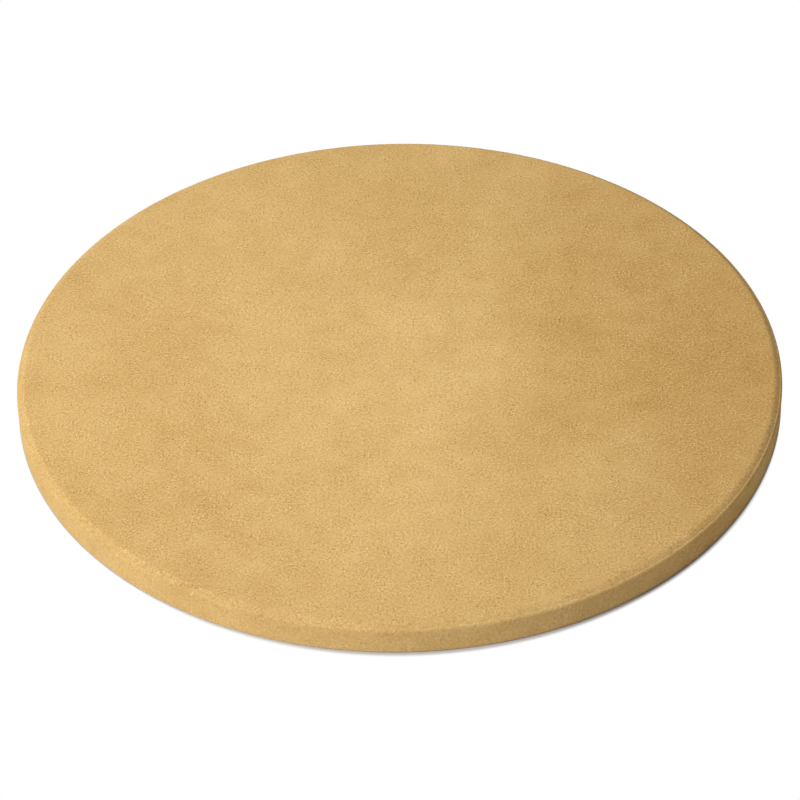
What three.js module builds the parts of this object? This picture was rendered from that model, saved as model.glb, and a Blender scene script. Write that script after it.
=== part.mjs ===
// Kamado heat deflector: one round slab of pressed and fired cordierite, in millimetres, +Z up.
// The slab lies on its underside, centred on the origin, with its cooking side facing +Z.

import * as THREE from 'three';

// Driving dimensions
const PLATE_DIAMETER = 381; // 15 inch stone
const PLATE_THICKNESS = 16; // 5/8 inch stone
const SHOULDER_WIDTH = 4.1; // plan width of the rounded shoulder round the top
const SHOULDER_DROP = 1.6; // how far the shoulder falls below the top face
const LAND_WIDTH = 0.4; // flat ring that the press leaves at the foot of the shoulder
const LIP_WIDTH = 1; // plan width of the rounding between the land and the wall
const LIP_DROP = 1.7; // how far that rounding falls below the land
const BASE_EDGE_RADIUS = 1; // rounding of the edge that the slab stands on

// Fineness of the round surfaces
const TURN_STEPS = 180;
const SHOULDER_STEPS = 6;
const LIP_STEPS = 4;
const BASE_EDGE_STEPS = 3;

// Unglazed, sandy, warm tan
const CORDIERITE_COLOUR = 0xd1ac6f;
const CORDIERITE_ROUGHNESS = 0.95;
const CORDIERITE_METALNESS = 0;

// Points from the underside's rim, round the base edge, to the foot of the wall.
function baseEdge(plateRadius) {
  const arcCentreRadius = plateRadius - BASE_EDGE_RADIUS;
  const points = [];
  for (let step = 0; step <= BASE_EDGE_STEPS; step += 1) {
    const turn = (Math.PI / 2) * (step / BASE_EDGE_STEPS);
    const radius = arcCentreRadius + BASE_EDGE_RADIUS * Math.sin(turn);
    const height = BASE_EDGE_RADIUS * (1 - Math.cos(turn));
    points.push(new THREE.Vector2(radius, height));
  }
  return points;
}

// Points from the top of the wall, round the lip, to the land's outer edge. The arc runs upright out of the
// wall and meets the land at an angle, so its width and its drop together set its radius.
function lip(plateRadius, landHeight) {
  const wallTop = landHeight - LIP_DROP;
  const fullTurn = 2 * Math.atan2(LIP_WIDTH, LIP_DROP);
  const arcRadius = LIP_DROP / Math.sin(fullTurn);
  const points = [];
  for (let step = 0; step <= LIP_STEPS; step += 1) {
    const turn = fullTurn * (step / LIP_STEPS);
    const radius = plateRadius - arcRadius * (1 - Math.cos(turn));
    const height = wallTop + arcRadius * Math.sin(turn);
    points.push(new THREE.Vector2(radius, height));
  }
  return points;
}

// Points up the shoulder, from the land's inner edge to the top face's rim. The arc runs level into the top
// face and meets the land at an angle, so its width and its drop together set its radius.
function shoulder(landRadius) {
  const rimRadius = landRadius - SHOULDER_WIDTH;
  const fullTurn = 2 * Math.atan2(SHOULDER_DROP, SHOULDER_WIDTH);
  const arcRadius = SHOULDER_WIDTH / Math.sin(fullTurn);
  const points = [];
  for (let step = SHOULDER_STEPS; step >= 0; step -= 1) {
    const turn = fullTurn * (step / SHOULDER_STEPS);
    const radius = rimRadius + arcRadius * Math.sin(turn);
    const height = PLATE_THICKNESS - arcRadius * (1 - Math.cos(turn));
    points.push(new THREE.Vector2(radius, height));
  }
  return points;
}

// Half section of the slab, from the middle of its underside round to the middle of its top.
function plateSection() {
  const plateRadius = PLATE_DIAMETER / 2;
  const landHeight = PLATE_THICKNESS - SHOULDER_DROP;
  return [
    new THREE.Vector2(0, 0),
    ...baseEdge(plateRadius),
    ...lip(plateRadius, landHeight),
    ...shoulder(plateRadius - LIP_WIDTH - LAND_WIDTH),
    new THREE.Vector2(0, PLATE_THICKNESS),
  ];
}

// The section is turned about its own upright axis, which is then laid along +Z.
function deflectorPlate() {
  const geometry = new THREE.LatheGeometry(plateSection(), TURN_STEPS);
  geometry.rotateX(Math.PI / 2);
  const material = new THREE.MeshStandardMaterial({
    color: CORDIERITE_COLOUR,
    roughness: CORDIERITE_ROUGHNESS,
    metalness: CORDIERITE_METALNESS,
  });
  const plate = new THREE.Mesh(geometry, material);
  plate.name = 'deflector_plate';
  return plate;
}

const heatDeflector = new THREE.Group();
heatDeflector.name = 'kamado_heat_deflector';
heatDeflector.add(deflectorPlate());

export default heatDeflector;
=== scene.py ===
"""Looks of a kamado heat deflector: one round slab of pressed and fired cordierite, in metres, +Z up."""

import math

import bpy
from mathutils import Matrix, Vector, noise


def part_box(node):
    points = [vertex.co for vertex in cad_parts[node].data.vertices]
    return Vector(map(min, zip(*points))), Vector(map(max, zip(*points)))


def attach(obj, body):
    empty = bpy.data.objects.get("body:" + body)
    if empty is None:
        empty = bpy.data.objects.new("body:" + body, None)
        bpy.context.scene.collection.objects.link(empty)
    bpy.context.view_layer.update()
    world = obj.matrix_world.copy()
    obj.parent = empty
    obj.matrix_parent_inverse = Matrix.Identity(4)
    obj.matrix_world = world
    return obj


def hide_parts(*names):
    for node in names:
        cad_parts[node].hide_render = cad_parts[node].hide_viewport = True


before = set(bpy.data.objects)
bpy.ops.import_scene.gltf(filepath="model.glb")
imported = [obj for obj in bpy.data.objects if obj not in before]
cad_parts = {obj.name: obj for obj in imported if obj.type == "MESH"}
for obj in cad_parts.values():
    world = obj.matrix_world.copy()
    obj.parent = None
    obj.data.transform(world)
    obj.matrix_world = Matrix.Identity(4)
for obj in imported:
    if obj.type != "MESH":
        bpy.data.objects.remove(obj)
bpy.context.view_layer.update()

MM = 0.001

# Section of the slab, from the top face outwards and down
SHOULDER_WIDTH = 3.3 * MM
SHOULDER_DROP = 1.8 * MM
LAND_WIDTH = 0.2 * MM
LIP_WIDTH = 1.0 * MM
LIP_DROP = 1.7 * MM
BASE_EDGE_RADIUS = 1.0 * MM

# Fineness of the mesh: from the middle of a face outwards, the steps round a ring double four times
CENTRE_STEPS = 90
MIDDLE_STEPS = 2 * CENTRE_STEPS
FACE_STEPS = 2 * MIDDLE_STEPS
NEAR_RIM_STEPS = 2 * FACE_STEPS
RIM_STEPS = 2 * NEAR_RIM_STEPS
CENTRE_SHARE = 0.25  # share of a face's radius within which its rings have the centre's steps
MIDDLE_SHARE = 0.5  # share of a face's radius within which they have at most the middle's steps
FACE_RING_GAP = 6.0 * MM
NEAR_RIM_GAP = FACE_RING_GAP / 3  # from a face's last ring to its rim
SHOULDER_RINGS = 14
LAND_RING_SHARES = (0.2, 0.8)  # where across the land its two rings lie
LIP_RINGS = 8
WALL_RINGS = 10
BASE_EDGE_RINGS = 6

# How far a surface belongs to the wall, from 0 on the faces to 1 on the wall itself
NEAR_RIM_WALL = 0.15
SHOULDER_TOP_WALL = 0.3
LAND_WALL = 0.8
EDGE_FADE = 3  # power by which the edge fades out down the lip: its rubbed tone, which is partly a painted highlight

# Unevenness of the pressed surface
TOP_SWELL = 0.10 * MM
TOP_SWELL_SIZE = 70 * MM
SWELL_FADE = 0.25  # share of the top's radius, next to its rim, over which the swell dies out
RIM_RIPPLE = 0.05 * MM
RIM_RIPPLE_SIZE = 5 * MM
LIP_NICK = 0.25 * MM
LIP_NICK_SIZE = 2.2 * MM
LIP_NICK_LEVEL = 0.25  # noise level above which the lip has crumbled
LIP_NICK_EDGE = 0.5  # rings that are more of an edge than this can have crumbled

# Camera, as the photograph was taken
LENS = 135.0
SENSOR = 36.0
ELEVATION = math.radians(40.04)
ROLL = math.radians(1.03)
DISTANCE = 1499.2 * MM
AIM = Vector((0.08 * MM, -11.9 * MM, 0.0))

# Light: ambient level, and for each lamp its azimuth, elevation, distance, size across, power and tint
WHITE = (1.0, 1.0, 1.0)
FILL_TINT = (1.0, 0.95, 0.91)  # the fill is a little warmer than the key
AMBIENT = 0.161
KEY_LAMP = (math.radians(-147), math.radians(40), 1.8, 0.8, 24.9, WHITE)
FRONT_LAMP = (math.radians(-63), math.radians(13), 1.8, 0.7, 3.0, FILL_TINT)
TOP_LAMP = (math.radians(180), math.radians(84), 0.6, 0.3, 1.1, WHITE)

# Floor: white but for the slab's contact shadow, a band that is widest at the front; in it the floor's real
# shading is darkened by a painted shadow colour
FLOOR_RADIUS = 3.0
FLOOR_STEPS = 360
FLOOR_TUCK = 2 * MM  # how far the floor reaches in under the slab
FLOOR_GREY = 0.75  # how much light the floor throws back at the slab
PAINTED_SHADOW_COLOUR = (0.605, 0.62, 0.64, 1.0)
SHADOW_TOWARDS = math.radians(-75)  # the side to which the shadow is shifted
SHADOW_SHIFT = 4.0 * MM
SHADOW_FADE = 2.6 * MM
SHADOW_REACH = -0.9 * MM  # from the slab's outline to the shadow's outer edge, before the shift
CONTACT_BAND = 0.4 * MM  # least width of the shadow, on every side


def plate_sizes():
    """Radius and thickness of the slab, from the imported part."""
    low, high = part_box("deflector_plate")
    return (high.x - low.x) / 2, high.z - low.z


class Ring:
    """One turn of the mesh: a circle of the section, and how far it belongs to the wall and to the edge."""

    def __init__(self, radius, height, steps, wall=0.0, edge=0.0, ripple=0.0, swell=0.0):
        self.radius = radius
        self.height = height
        self.steps = steps
        self.wall = wall
        self.edge = edge
        self.ripple = ripple
        self.swell = swell


def face_rings(rim_radius, height, swell):
    """Rings of a flat face from near its centre out to just inside its rim, with fewer steps further in."""
    rings = []
    count = int(rim_radius / FACE_RING_GAP)
    for k in range(1, count):
        radius = rim_radius * k / count
        if radius < rim_radius * CENTRE_SHARE:
            steps = CENTRE_STEPS
        elif radius < rim_radius * MIDDLE_SHARE:
            steps = MIDDLE_STEPS
        else:
            steps = FACE_STEPS
        fade = min(1.0, (1 - k / count) / SWELL_FADE)
        rings.append(Ring(radius, height, steps, swell=swell * fade))
    rings.append(Ring(rim_radius - NEAR_RIM_GAP, height, NEAR_RIM_STEPS, wall=NEAR_RIM_WALL))
    return rings


def shoulder_rings(land_radius, thickness):
    """Rings down the shoulder, curved like a bar held level at the top face and bent down at the land."""
    rings = []
    for k in range(SHOULDER_RINGS + 1):
        share = k / SHOULDER_RINGS
        radius = land_radius - SHOULDER_WIDTH * (1 - share)
        height = thickness - SHOULDER_DROP * share ** 2 * (3 - share) / 2
        wall = SHOULDER_TOP_WALL + (LAND_WALL - SHOULDER_TOP_WALL) * share
        rings.append(Ring(radius, height, RIM_STEPS, wall=wall, ripple=share))
    return rings


def land_rings(land_radius, land_height):
    """Rings across the land, close to its two edges so that it stays flat."""
    rings = []
    for share in LAND_RING_SHARES:
        radius = land_radius + LAND_WIDTH * share
        rings.append(Ring(radius, land_height, RIM_STEPS, wall=LAND_WALL, edge=1.0, ripple=1.0))
    return rings


def lip_rings(plate_radius, land_height):
    """Rings round the lip: an arc that meets the land at an angle and runs upright into the wall."""
    wall_top = land_height - LIP_DROP
    full_turn = 2 * math.atan2(LIP_WIDTH, LIP_DROP)
    arc_radius = LIP_DROP / math.sin(full_turn)
    rings = []
    for k in range(LIP_RINGS + 1):
        down = k / LIP_RINGS
        turn = full_turn * (1 - down)
        radius = plate_radius - arc_radius * (1 - math.cos(turn))
        height = wall_top + arc_radius * math.sin(turn)
        wall = LAND_WALL + (1 - LAND_WALL) * down
        edge = (1 - down) ** EDGE_FADE
        rings.append(Ring(radius, height, RIM_STEPS, wall=wall, edge=edge, ripple=1.0))
    return rings


def wall_rings(plate_radius, wall_top):
    """Rings down the wall."""
    rings = []
    for k in range(1, WALL_RINGS + 1):
        height = wall_top + (BASE_EDGE_RADIUS - wall_top) * k / WALL_RINGS
        rings.append(Ring(plate_radius, height, RIM_STEPS, wall=1.0, ripple=1.0))
    return rings


def base_edge_rings(plate_radius):
    """Rings round the edge that the slab stands on."""
    rings = []
    for k in range(1, BASE_EDGE_RINGS + 1):
        turn = math.pi / 2 * k / BASE_EDGE_RINGS
        radius = plate_radius - BASE_EDGE_RADIUS * (1 - math.cos(turn))
        height = BASE_EDGE_RADIUS * (1 - math.sin(turn))
        share = k / BASE_EDGE_RINGS
        rings.append(Ring(radius, height, RIM_STEPS, wall=1 - share, ripple=1 - share))
    return rings


def plate_rings():
    """All rings of the slab, from the middle of the top, over the rim, to the middle of the underside."""
    plate_radius, thickness = plate_sizes()
    land_height = thickness - SHOULDER_DROP
    land_radius = plate_radius - LIP_WIDTH - LAND_WIDTH
    return [
        *face_rings(land_radius - SHOULDER_WIDTH, thickness, TOP_SWELL),
        *shoulder_rings(land_radius, thickness),
        *land_rings(land_radius, land_height),
        *lip_rings(plate_radius, land_height),
        *wall_rings(plate_radius, land_height - LIP_DROP),
        *base_edge_rings(plate_radius),
        *reversed(face_rings(plate_radius - BASE_EDGE_RADIUS, 0.0, 0.0)),
    ]


def unit_noise(place, size):
    """Smooth noise from 0 to 1 whose features are about that size."""
    return 0.5 + 0.5 * noise.noise(place / size)


def ring_points(ring):
    """The ring's points, with the surface's unevenness."""
    points = []
    for k in range(ring.steps):
        angle = 2 * math.pi * k / ring.steps
        around = Vector((math.cos(angle), math.sin(angle), 0.0))
        place = around * ring.radius + Vector((0.0, 0.0, ring.height))
        inwards = ring.ripple * RIM_RIPPLE * unit_noise(place, RIM_RIPPLE_SIZE)
        if ring.edge > LIP_NICK_EDGE:
            crumble = noise.noise(place / LIP_NICK_SIZE) - LIP_NICK_LEVEL
            inwards += max(0.0, crumble) * LIP_NICK
        lower = ring.swell * unit_noise(place, TOP_SWELL_SIZE)
        points.append(place - around * inwards - Vector((0.0, 0.0, lower)))
    return points


def stitch(first, second):
    """Faces between two rings of point numbers, of which one may have twice as many points as the other."""
    faces = []
    count_a = len(first)
    count_b = len(second)
    if count_a == count_b:
        for k in range(count_a):
            n = (k + 1) % count_a
            faces.append((first[k], second[k], second[n], first[n]))
    elif count_b == 2 * count_a:
        for k in range(count_a):
            n = (k + 1) % count_a
            faces.append((first[k], second[2 * k], second[2 * k + 1]))
            faces.append((first[k], second[2 * k + 1], first[n]))
            faces.append((first[n], second[2 * k + 1], second[2 * n]))
    else:
        for k in range(count_b):
            n = (k + 1) % count_b
            faces.append((second[k], first[2 * k + 1], first[2 * k]))
            faces.append((second[k], second[n], first[2 * k + 1]))
            faces.append((second[n], first[2 * n], first[2 * k + 1]))
    return faces


def build_plate():
    """The slab as one closed mesh, with its wall and edge marked point by point for the material."""
    plate_thickness = plate_sizes()[1]
    rings = plate_rings()
    points = [Vector((0.0, 0.0, plate_thickness - rings[0].swell / 2))]
    wall = [0.0]
    edge = [0.0]
    turns = []
    for ring in rings:
        made = ring_points(ring)
        turns.append(range(len(points), len(points) + len(made)))
        points.extend(made)
        wall.extend([ring.wall] * len(made))
        edge.extend([ring.edge] * len(made))
    points.append(Vector((0.0, 0.0, 0.0)))
    wall.append(0.0)
    edge.append(0.0)

    faces = []
    inner = turns[0]
    for k in range(len(inner)):
        faces.append((0, inner[k], inner[(k + 1) % len(inner)]))
    for first, second in zip(turns, turns[1:]):
        faces.extend(stitch(first, second))
    outer = turns[-1]
    last = len(points) - 1
    for k in range(len(outer)):
        faces.append((outer[k], last, outer[(k + 1) % len(outer)]))

    mesh = bpy.data.meshes.new("deflector_slab")
    mesh.from_pydata(points, [], faces)
    for name, values in (("wall", wall), ("edge", edge)):
        mesh.attributes.new(name, "FLOAT", "POINT").data.foreach_set("value", values)
    mesh.shade_smooth()
    mesh.validate()
    slab = bpy.data.objects.new("deflector_slab", mesh)
    bpy.context.scene.collection.objects.link(slab)
    return slab


# Middle of a noise node's range, and the places of the colour sockets on a mix node
NOISE_MIDDLE = 0.5
MIX_FIRST_COLOUR = 6
MIX_SECOND_COLOUR = 7
MIX_COLOUR_RESULT = 2


class Graph:
    """Adds nodes to one shader tree and joins them by what feeds them."""

    def __init__(self, tree):
        self.tree = tree
        tree.nodes.clear()

    def add(self, kind, **settings):
        """A new node of that kind, with its settings."""
        made = self.tree.nodes.new(kind)
        for name, value in settings.items():
            setattr(made, name, value)
        return made

    def feed(self, socket, value):
        """Links the value to the socket if it is another node's, or else writes it there."""
        if isinstance(value, bpy.types.NodeSocket):
            self.tree.links.new(value, socket)
        else:
            socket.default_value = value

    def math(self, operation, *values):
        """Result of a sum on numbers."""
        made = self.add("ShaderNodeMath", operation=operation)
        for socket, value in zip(made.inputs, values):
            self.feed(socket, value)
        return made.outputs[0]

    def vector(self, operation, *values):
        """Result of a sum on vectors."""
        made = self.add("ShaderNodeVectorMath", operation=operation)
        for socket, value in zip(made.inputs, values):
            self.feed(socket, value)
        return made.outputs["Value" if operation in ("DISTANCE", "LENGTH") else "Vector"]

    def noise(self, place, size, detail):
        """Noise about zero whose features are about that size."""
        made = self.add("ShaderNodeTexNoise", noise_dimensions="3D")
        self.feed(made.inputs["Vector"], place)
        made.inputs["Scale"].default_value = 1 / size
        made.inputs["Detail"].default_value = detail
        return self.math("SUBTRACT", made.outputs["Fac"], NOISE_MIDDLE)

    def ramp(self, value, start, end, low, high):
        """Smooth step from low to high as value goes from start to end."""
        made = self.add("ShaderNodeMapRange", interpolation_type="SMOOTHSTEP")
        fed = {"Value": value, "From Min": start, "From Max": end, "To Min": low, "To Max": high}
        for name, number in fed.items():
            self.feed(made.inputs[name], number)
        return made.outputs["Result"]

    def total(self, *values):
        """All the values added up."""
        result = values[0]
        for value in values[1:]:
            result = self.math("ADD", result, value)
        return result

    def mix(self, factor, first, second):
        """The first colour where the factor is 0, and the second where it is 1."""
        made = self.add("ShaderNodeMix", data_type="RGBA")
        self.feed(made.inputs[0], factor)
        self.feed(made.inputs[MIX_FIRST_COLOUR], first)
        self.feed(made.inputs[MIX_SECOND_COLOUR], second)
        return made.outputs[MIX_COLOUR_RESULT]


# Colours of the fired body, from where it is deepest to where it is palest
DEEP_TAN = (0.432, 0.216, 0.033, 1.0)
PALE_TAN = (0.957, 0.712, 0.326, 1.0)
MEAN_TONE = 0.47

# Clouding that the pressing and the kiln leave, at four sizes: size across, and how far it moves the tone
CLOUD_LAYERS = (
    (34 * MM, 0.17),
    (20 * MM, 0.08),
    (10 * MM, 0.16),
    (3 * MM, 0.04),
)
CLOUD_DETAIL = 1.0

# Broad soft patches of the top: place across and along, radius, width of the fading, and how far the patch
# moves the tone.
# Most are paler or deeper clouds; the two deep ones on the right, at 330 mm and 150 mm across, are painted
# shade
CLOUD_AND_SHADE_PATCHES = (
    (-2 * MM, -25 * MM, 70 * MM, 100 * MM, 0.085),
    (-75 * MM, 120 * MM, 60 * MM, 90 * MM, 0.03),
    (-20 * MM, -145 * MM, 50 * MM, 70 * MM, 0.04),
    (105 * MM, -75 * MM, 22 * MM, 30 * MM, 0.08),
    (100 * MM, 48 * MM, 14 * MM, 18 * MM, 0.06),
    # painted shade: darkens the right side of the top, where the light falls off
    (330 * MM, 40 * MM, 270 * MM, 45 * MM, -0.11),
    # painted shade too, on the right side of the top
    (150 * MM, -5 * MM, 50 * MM, 60 * MM, -0.06),
    (123 * MM, 68 * MM, 14 * MM, 16 * MM, -0.08),
    (62 * MM, -52 * MM, 30 * MM, 34 * MM, -0.09),
    (82 * MM, 22 * MM, 20 * MM, 25 * MM, -0.05),
    (10 * MM, 120 * MM, 45 * MM, 60 * MM, -0.04),
    (-125 * MM, 15 * MM, 45 * MM, 60 * MM, -0.04),
    (-165 * MM, 15 * MM, 22 * MM, 30 * MM, 0.07),
    (-75 * MM, 50 * MM, 16 * MM, 24 * MM, 0.06),
    (-85 * MM, -105 * MM, 18 * MM, 24 * MM, -0.07),
)
PATCH_SWAY = 24 * MM  # how far the patches' outlines wander
PATCH_SWAY_SIZE = 35 * MM

# Grain: sintered grains, pale and dark, in a bed of fine noise, with a few large dark specks. A step says
# how strong one of these is, below zero towards the dark grain's colour and above zero towards the pale's
DARK_GRAIN = (0.31, 0.115, 0.004, 1.0)
PALE_GRAIN = (0.96, 0.74, 0.38, 1.0)
GRAIN_AMOUNT = 0.58  # how far a step of 1 moves the colour from the body's to the grain's
GRAIN_GAP = 0.72 * MM
GRAIN_RADIUS = 0.31 * MM
GRAIN_CORE = 0.6  # share of a grain's radius within which it has its full strength
PALE_BIAS = 0.13  # how much more the pale grains stand out than the dark ones
BED_SIZE = 1.0 * MM
BED_DETAIL = 0.0
BED_STEP = 1.75
GRAIN_PATCH_SIZE = 7 * MM
GRAIN_PATCH_DETAIL = 1.0
PATCHINESS = 1.6  # how much more grain shows in some patches than in others
SPECK_GAP = 2.4 * MM
SPECK_RADIUS = 0.38 * MM
SPECK_SHARE = 0.10  # share of the places for specks that have one
SPECK_STEP = -1.4
RELIEF_SIZE = 0.8 * MM
RELIEF_DETAIL = 3.0
GRAIN_RELIEF = 0.07 * MM
WALL_GRAIN = 0.65  # the wall slid along the die, so less of the grain shows there
EDGE_TONE = 0.03  # edges are paler: rubbed wear, and partly a painted highlight along the land and the lip
ROUGHNESS = 0.95
DIFFUSE_ROUGHNESS = 0.42
SPECULAR_LEVEL = 0.2


def dots(g, place, gap, radius):
    """1 inside scattered round grains and 0 between them, and three chances per grain."""
    cells = g.add("ShaderNodeTexVoronoi", feature="F1")
    g.feed(cells.inputs["Vector"], place)
    cells.inputs["Scale"].default_value = 1 / gap
    chance = g.add("ShaderNodeSeparateColor")
    g.feed(chance.inputs["Color"], cells.outputs["Color"])
    spot = g.ramp(cells.outputs["Distance"], GRAIN_CORE * radius / gap, radius / gap, 1.0, 0.0)
    return spot, chance.outputs


def grains(g, place):
    """Step of the grains and of the bed they lie in, stronger in some patches than in others."""
    spot, chance = dots(g, place, GRAIN_GAP, GRAIN_RADIUS)
    even = g.math("MULTIPLY_ADD", chance["Blue"], 2.0, -1.0)  # from -1 to 1, all of it as likely
    strength = g.math("MULTIPLY_ADD", even, PALE_BIAS, g.math("ABSOLUTE", even))
    grain = g.math("MULTIPLY", spot, g.math("MULTIPLY", even, strength))
    bed = g.math("MULTIPLY", g.noise(place, BED_SIZE, BED_DETAIL), BED_STEP)
    patch = g.noise(place, GRAIN_PATCH_SIZE, GRAIN_PATCH_DETAIL)
    share = g.math("MULTIPLY_ADD", patch, PATCHINESS, 1.0)
    return g.math("MULTIPLY", g.total(grain, bed), share)


def specks(g, place):
    """Step of the few large dark specks."""
    spot, chance = dots(g, place, SPECK_GAP, SPECK_RADIUS)
    chosen = g.math("LESS_THAN", chance["Red"], SPECK_SHARE)
    return g.math("MULTIPLY", g.math("MULTIPLY", spot, chosen), SPECK_STEP)


def patches(g, place):
    """Tone of the broad patches, with wandering outlines."""
    sway = g.add("ShaderNodeTexNoise", noise_dimensions="3D")
    g.feed(sway.inputs["Vector"], place)
    sway.inputs["Scale"].default_value = 1 / PATCH_SWAY_SIZE
    middle = (NOISE_MIDDLE, NOISE_MIDDLE, NOISE_MIDDLE)
    offset = g.vector("SUBTRACT", sway.outputs["Color"], middle)
    swayed = g.vector("MULTIPLY_ADD", offset, (PATCH_SWAY, PATCH_SWAY, 0.0), place)
    top = plate_sizes()[1]
    tones = []
    for across, along, radius, fade, tone in CLOUD_AND_SHADE_PATCHES:
        distance = g.vector("DISTANCE", swayed, (across, along, top))
        tones.append(g.ramp(distance, radius - fade / 2, radius + fade / 2, tone, 0.0))
    return g.total(*tones)


def cordierite():
    """Unglazed cordierite: sandy grain in a warm tan body, clouded by the pressing and the kiln, with
    painted shade on the right of the top and a paler edge that is partly a painted highlight.
    """
    material = bpy.data.materials.new("cordierite")
    material.use_nodes = True
    g = Graph(material.node_tree)
    place = g.add("ShaderNodeTexCoord").outputs["Object"]
    wall = g.add("ShaderNodeAttribute", attribute_name="wall").outputs["Fac"]
    edge = g.add("ShaderNodeAttribute", attribute_name="edge").outputs["Fac"]
    shown = g.math("MULTIPLY_ADD", wall, WALL_GRAIN - 1, 1.0)

    clouds = [g.math("MULTIPLY", g.noise(place, size, CLOUD_DETAIL), tone) for size, tone in CLOUD_LAYERS]
    # the edge's paler tone is partly a painted highlight along the land and the lip
    # the patches hold painted shade on the right of the top, besides the clouds
    tone = g.total(MEAN_TONE, patches(g, place), *clouds, g.math("MULTIPLY", edge, EDGE_TONE))
    body = g.mix(tone, DEEP_TAN, PALE_TAN)
    speck = specks(g, place)
    sand = g.total(grains(g, place), speck)
    pale = g.math("MULTIPLY", g.math("MULTIPLY", sand, shown), GRAIN_AMOUNT)
    dark = g.math("MULTIPLY", pale, -1.0)
    colour = g.mix(dark, g.mix(pale, body, PALE_GRAIN), DARK_GRAIN)

    height = g.total(g.noise(place, RELIEF_SIZE, RELIEF_DETAIL), speck)
    relief = g.add("ShaderNodeBump")
    relief.inputs["Strength"].default_value = 1.0
    relief.inputs["Distance"].default_value = GRAIN_RELIEF
    g.feed(relief.inputs["Height"], g.math("MULTIPLY", height, shown))

    shader = g.add("ShaderNodeBsdfPrincipled")
    g.feed(shader.inputs["Base Color"], colour)
    g.feed(shader.inputs["Normal"], relief.outputs["Normal"])
    shader.inputs["Roughness"].default_value = ROUGHNESS
    shader.inputs["Diffuse Roughness"].default_value = DIFFUSE_ROUGHNESS
    shader.inputs["Specular IOR Level"].default_value = SPECULAR_LEVEL
    output = g.add("ShaderNodeOutputMaterial")
    g.feed(output.inputs["Surface"], shader.outputs[0])
    return material


def seen_directly(g):
    """1 for what the camera sees, straight, mirrored or through glass, and 0 for light on its way."""
    path = g.add("ShaderNodeLightPath")
    straight = path.outputs["Is Camera Ray"]
    mirrored = path.outputs["Is Glossy Ray"]
    through = path.outputs["Is Transmission Ray"]
    return g.math("MAXIMUM", straight, g.math("MAXIMUM", mirrored, through))


def floor_material():
    """Pale floor that reads as white, and shows the slab's shadow close by it: its real shading there,
    darkened by a painted shadow colour.
    """
    material = bpy.data.materials.new("studio_floor")
    material.use_nodes = True
    g = Graph(material.node_tree)
    seen = seen_directly(g)
    place = g.add("ShaderNodeTexCoord").outputs["Object"]
    plate_radius = plate_sizes()[0]
    shift = (SHADOW_SHIFT * math.cos(SHADOW_TOWARDS), SHADOW_SHIFT * math.sin(SHADOW_TOWARDS), 0.0)
    outer = plate_radius + SHADOW_REACH
    beyond = g.ramp(g.vector("DISTANCE", place, shift), outer - SHADOW_FADE, outer, 0.0, 1.0)
    apart = g.ramp(g.vector("LENGTH", place), plate_radius, plate_radius + CONTACT_BAND, 0.0, 1.0)
    lit = g.add("ShaderNodeBsdfDiffuse")
    floor_grey = (FLOOR_GREY, FLOOR_GREY, FLOOR_GREY, 1.0)
    # painted shadow: seen straight, the floor near the slab takes a grey darker than its white
    g.feed(lit.inputs["Color"], g.mix(seen, floor_grey, PAINTED_SHADOW_COLOUR))
    white = g.add("ShaderNodeEmission")
    blend = g.add("ShaderNodeMixShader")
    g.feed(blend.inputs[0], g.math("MULTIPLY", seen, g.math("MINIMUM", beyond, apart)))
    g.feed(blend.inputs[1], lit.outputs[0])
    g.feed(blend.inputs[2], white.outputs[0])
    output = g.add("ShaderNodeOutputMaterial")
    g.feed(output.inputs["Surface"], blend.outputs[0])
    return material


def build_floor():
    """A plain level floor round the slab, open under its middle so that its underside shows from below."""
    points = []
    for radius in (plate_sizes()[0] - FLOOR_TUCK, FLOOR_RADIUS):
        for k in range(FLOOR_STEPS):
            angle = 2 * math.pi * k / FLOOR_STEPS
            points.append((radius * math.cos(angle), radius * math.sin(angle), 0.0))
    mesh = bpy.data.meshes.new("studio_floor")
    mesh.from_pydata(points, [], stitch(range(FLOOR_STEPS), range(FLOOR_STEPS, 2 * FLOOR_STEPS)))
    mesh.materials.append(floor_material())
    floor = bpy.data.objects.new("studio_floor", mesh)
    bpy.context.scene.collection.objects.link(floor)
    return floor


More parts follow.
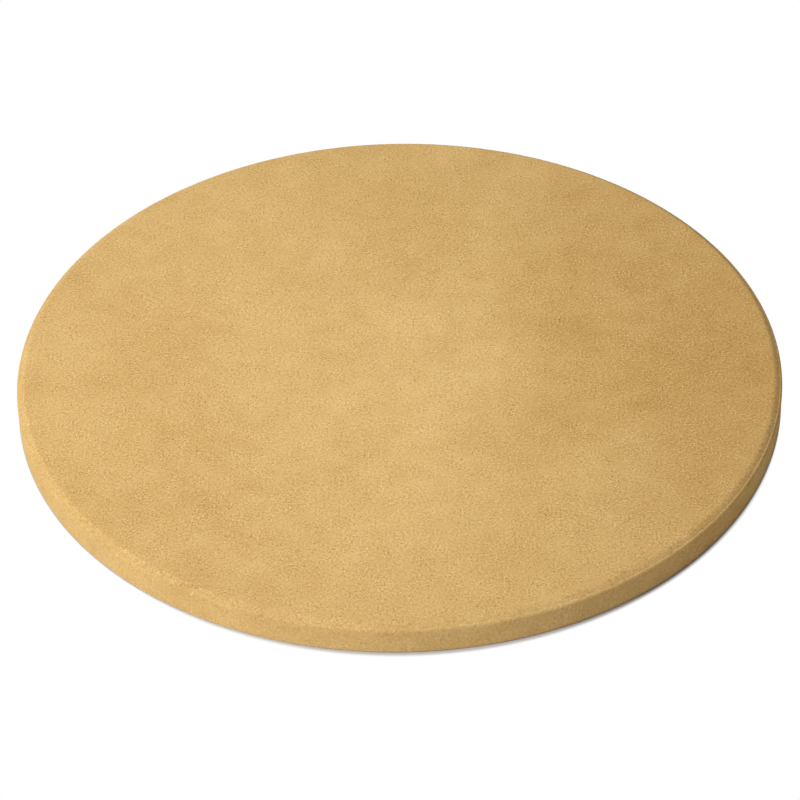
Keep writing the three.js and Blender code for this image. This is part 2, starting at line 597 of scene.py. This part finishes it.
def build_world():
    """Even ambient light, with a white backdrop where it is seen."""
    world = bpy.data.worlds.new("studio")
    world.use_nodes = True
    g = Graph(world.node_tree)
    ambient = g.add("ShaderNodeBackground")
    ambient.inputs["Strength"].default_value = AMBIENT
    ambient.inputs["Color"].default_value = (*FILL_TINT, 1.0)
    white = g.add("ShaderNodeBackground")
    white.inputs["Color"].default_value = (*WHITE, 1.0)
    blend = g.add("ShaderNodeMixShader")
    g.feed(blend.inputs[0], seen_directly(g))
    g.feed(blend.inputs[1], ambient.outputs[0])
    g.feed(blend.inputs[2], white.outputs[0])
    output = g.add("ShaderNodeOutputWorld")
    g.feed(output.inputs["Surface"], blend.outputs[0])
    bpy.context.scene.world = world


def build_lamp(name, azimuth, elevation, distance, size, power, tint):
    """A round soft lamp that looks at the middle of the slab."""
    level = math.cos(elevation)
    towards = Vector((level * math.cos(azimuth), level * math.sin(azimuth), math.sin(elevation)))
    data = bpy.data.lights.new(name, "AREA")
    data.shape = "DISK"
    data.size = size
    data.energy = power
    data.color = tint
    lamp = bpy.data.objects.new(name, data)
    lamp.location = towards * distance
    lamp.rotation_mode = "QUATERNION"
    lamp.rotation_quaternion = (-towards).to_track_quat("-Z", "Y")
    bpy.context.scene.collection.objects.link(lamp)


def build_camera():
    """The photograph's camera: it looks along +Y and down, and leans a little."""
    data = bpy.data.cameras.new("camera")
    data.lens = LENS
    data.sensor_width = SENSOR
    forward = Vector((0.0, math.cos(ELEVATION), -math.sin(ELEVATION)))
    right = Vector((1.0, 0.0, 0.0))
    down = forward.cross(right)
    x_axis = right * math.cos(ROLL) + down * math.sin(ROLL)
    y_axis = right * math.sin(ROLL) - down * math.cos(ROLL)
    turn = Matrix((x_axis, y_axis, -forward)).transposed()
    camera = bpy.data.objects.new("camera", data)
    camera.matrix_world = Matrix.Translation(AIM - forward * DISTANCE) @ turn.to_4x4()
    bpy.context.scene.collection.objects.link(camera)
    bpy.context.scene.camera = camera


def main():
    """The studio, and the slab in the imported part's place."""
    bpy.context.scene.view_settings.view_transform = "Standard"
    build_camera()
    build_world()
    build_lamp("key_lamp", *KEY_LAMP)
    build_lamp("front_lamp", *FRONT_LAMP)
    build_lamp("top_lamp", *TOP_LAMP)
    build_floor()

    slab = build_plate()
    slab.data.materials.append(cordierite())
    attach(slab, "root")
    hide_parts("deflector_plate")


main()
